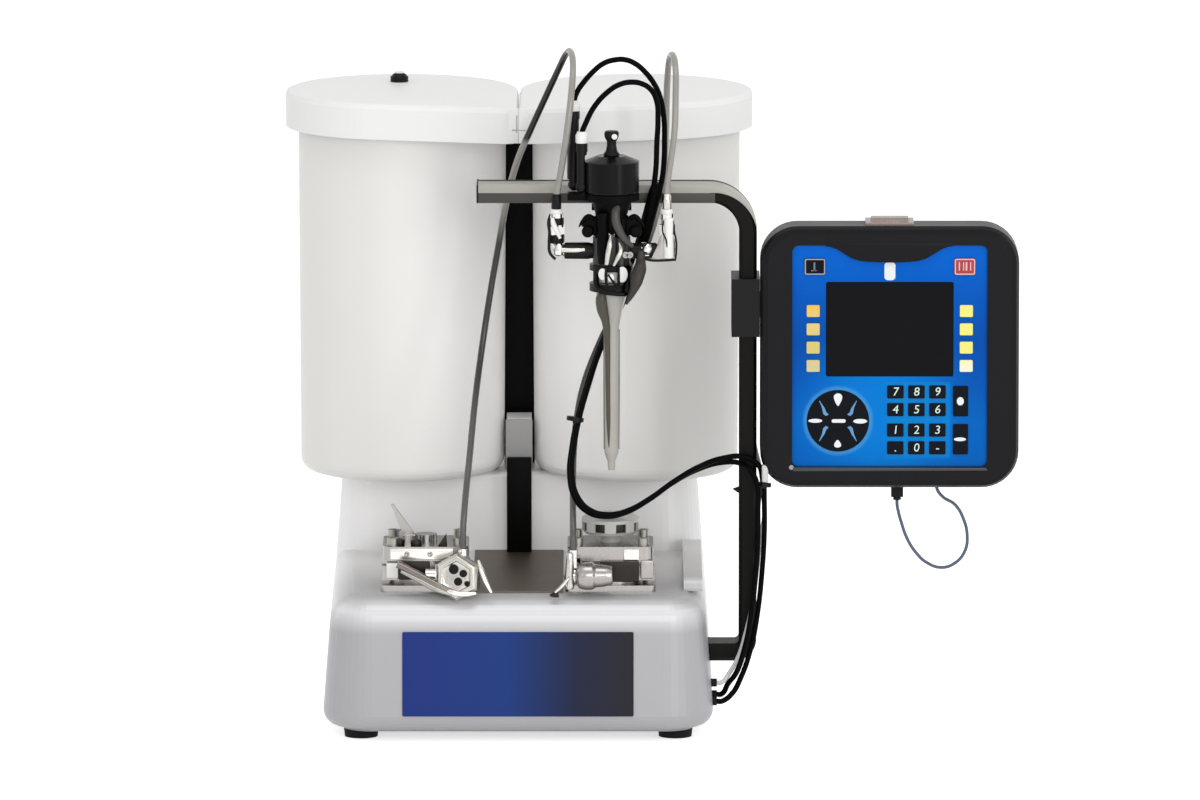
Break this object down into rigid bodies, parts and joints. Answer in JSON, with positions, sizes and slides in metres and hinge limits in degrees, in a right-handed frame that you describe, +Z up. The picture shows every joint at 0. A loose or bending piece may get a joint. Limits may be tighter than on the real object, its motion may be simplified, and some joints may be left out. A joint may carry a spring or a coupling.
{
  "type": "two-component dispensing machine",
  "caption": "Benchtop two-component metering and dispensing machine with twin tanks, metering drive, mast-mounted valve with static mixer, and a tilting display module.",
  "frame": {"origin": "on the bench surface, below the middle of the whole machine measured without its cords", "axes": "+X to the operator's right, towards the display; +Y away from the operator; +Z up"},
  "size_m": [0.6702, 0.448, 0.6269],
  "materials": {
    "housing_paint": "satin silver-grey paint",
    "grey_paint": "satin grey paint",
    "black_rubber": "matte",
    "label_film": "gloss printed film, bare",
    "dark_steel": "dark polished",
    "screw_steel": "plain",
    "black_plastic": "moulded, satin",
    "nickel": "nickel plated",
    "drive_aluminium": "machined",
    "motor_black": "black",
    "ground_steel": "ground",
    "stainless": "machined stainless",
    "bright_chrome": "polished",
    "tank_poly": "natural translucent moulding",
    "lid_poly": "white moulding",
    "black_paint": "satin black",
    "mast_paint": "dark semi-gloss",
    "black_anodised": "satin anodised",
    "face_blue": "printed film",
    "screen_black": "gloss",
    "key_black": "membrane",
    "key_red": "membrane",
    "key_amber": "membrane",
    "mixer_clear": "translucent moulding",
    "mixer_white": "acetal",
    "tube_clear": "translucent tube",
    "tube_black": "tube",
    "cable_grey": "jacket",
    "cord_blue": "coated cord"
  },
  "bodies": {
    "base": {"base_housing": "housing_paint", "bottom_plate": "grey_paint", "rubber_feet": "black_rubber", "front_panel": "label_film", "deck_plate": "dark_steel", "rear_cover": "grey_paint", "socket_screws": "screw_steel", "power_inlet": "black_plastic", "air_inlet": "nickel", "drive_frame": "drive_aluminium", "drive_motor": "motor_black", "metering_tubes": "ground_steel", "power_supply": "drive_aluminium", "air_manifold": "motor_black", "feed_pipes": "stainless", "pump_block_left": "stainless", "pump_block_right": "stainless", "outlet_elbows": "bright_chrome", "tank_left": "tank_poly", "tank_right": "tank_poly", "tank_column": "black_paint", "column_foot": "black_paint", "mast": "mast_paint", "display_clamp": "black_plastic", "cable_glands": "black_rubber", "valve_bracket": "black_paint", "air_cylinder": "black_anodised", "valve_yoke": "black_paint", "valve_body": "bright_chrome", "inlet_fittings": "bright_chrome", "air_fittings": "black_plastic", "fluid_tube_left": "tube_clear", "fluid_tube_right": "tube_clear", "air_line_open": "tube_black", "air_line_close": "tube_black", "display_cable": "cable_grey"},
    "switch_rocker": {"power_switch": "black_plastic"},
    "screw": {"ball_screw": "ground_steel"},
    "crosshead": {"crosshead": "drive_aluminium", "piston_rods": "ground_steel"},
    "lever_left": {"shutoff_lever_left": "stainless"},
    "lever_right": {"shutoff_lever_right": "stainless"},
    "lid_left": {"lid_left": "lid_poly"},
    "lid_right": {"lid_right": "lid_poly"},
    "plug": {"lid_plug": "black_plastic"},
    "display": {"display_shell": "black_plastic", "display_bezel": "black_plastic", "faceplate": "face_blue", "screen": "screen_black", "display_hook": "stainless", "keypad": "key_amber", "display_loop": "cord_blue"},
    "start": {"start_key": "key_black"},
    "stop": {"stop_key": "key_red"},
    "nav": {"nav_pad": "key_black"},
    "adjuster": {"adjuster_knob": "black_anodised"},
    "valve_needles": {"valve_piston": "ground_steel"},
    "mixer": {"mixer_tube": "mixer_clear", "mixer_element": "mixer_white"},
    "nut": {"mixer_nut": "black_anodised"}
  },
  "joints": [
    {"name": "power_rocker", "type": "hinge", "parent": "base", "child": "switch_rocker", "pos_m": [-0.1944, 0.209, 0.063], "axis": [1, 0, 0], "range_deg": [-20, 0]},
    {"name": "drive_slide", "type": "slide", "parent": "base", "child": "crosshead", "axis": [0, -1, 0], "range_m": [0, 0.076]},
    {"name": "screw_spin", "type": "hinge", "parent": "base", "child": "screw", "pos_m": [-0.1199, -0.0055, 0.074], "axis": [0, 1, 0], "range_deg": [0, 1368.5]},
    {"name": "left_shutoff", "type": "hinge", "parent": "base", "child": "lever_left", "pos_m": [-0.2039, -0.151, 0.18], "axis": [0, 0, 1], "range_deg": [0, 90]},
    {"name": "right_shutoff", "type": "hinge", "parent": "base", "child": "lever_right", "pos_m": [-0.0359, -0.151, 0.18], "axis": [0, 0, 1], "range_deg": [0, 90]},
    {"name": "left_lid_lift", "type": "slide", "parent": "base", "child": "lid_left", "axis": [0, 0, 1], "range_m": [0, 0.15]},
    {"name": "right_lid_lift", "type": "slide", "parent": "base", "child": "lid_right", "axis": [0, 0, 1], "range_m": [0, 0.15]},
    {"name": "plug_pull", "type": "slide", "parent": "lid_left", "child": "plug", "axis": [0, 0, 1], "range_m": [0, 0.02]},
    {"name": "display_tilt", "type": "hinge", "parent": "base", "child": "display", "pos_m": [0.1001, -0.145, 0.3925], "axis": [1, 0, 0], "range_deg": [-30, 15]},
    {"name": "start_press", "type": "slide", "parent": "display", "child": "start", "axis": [0, 1, 0], "range_m": [0, 0.0008], "stiffness_N_per_m": 400},
    {"name": "stop_press", "type": "slide", "parent": "display", "child": "stop", "axis": [0, 1, 0], "range_m": [0, 0.0008], "stiffness_N_per_m": 400},
    {"name": "nav_press", "type": "slide", "parent": "display", "child": "nav", "axis": [0, 1, 0], "range_m": [0, 0.0008], "stiffness_N_per_m": 500},
    {"name": "adjuster_turn", "type": "hinge", "parent": "base", "child": "adjuster", "pos_m": [-0.0349, -0.189, 0.54], "axis": [0, 0, 1], "range_deg": [0, 720]},
    {"name": "needle_lift", "type": "slide", "parent": "base", "child": "valve_needles", "axis": [0, 0, 1], "range_m": [0, 0.004], "stiffness_N_per_m": 3000},
    {"name": "mixer_drop", "type": "slide", "parent": "base", "child": "mixer", "axis": [0, 0, -1], "range_m": [0, 0.03]},
    {"name": "nut_turn", "type": "hinge", "parent": "mixer", "child": "nut", "pos_m": [-0.0349, -0.189, 0.4199], "axis": [0, 0, 1], "continuous": true}
  ],
  "couplings": [
    {"joint": "screw_spin", "follows": "drive_slide", "rad_per_m": 314.16}
  ]
}
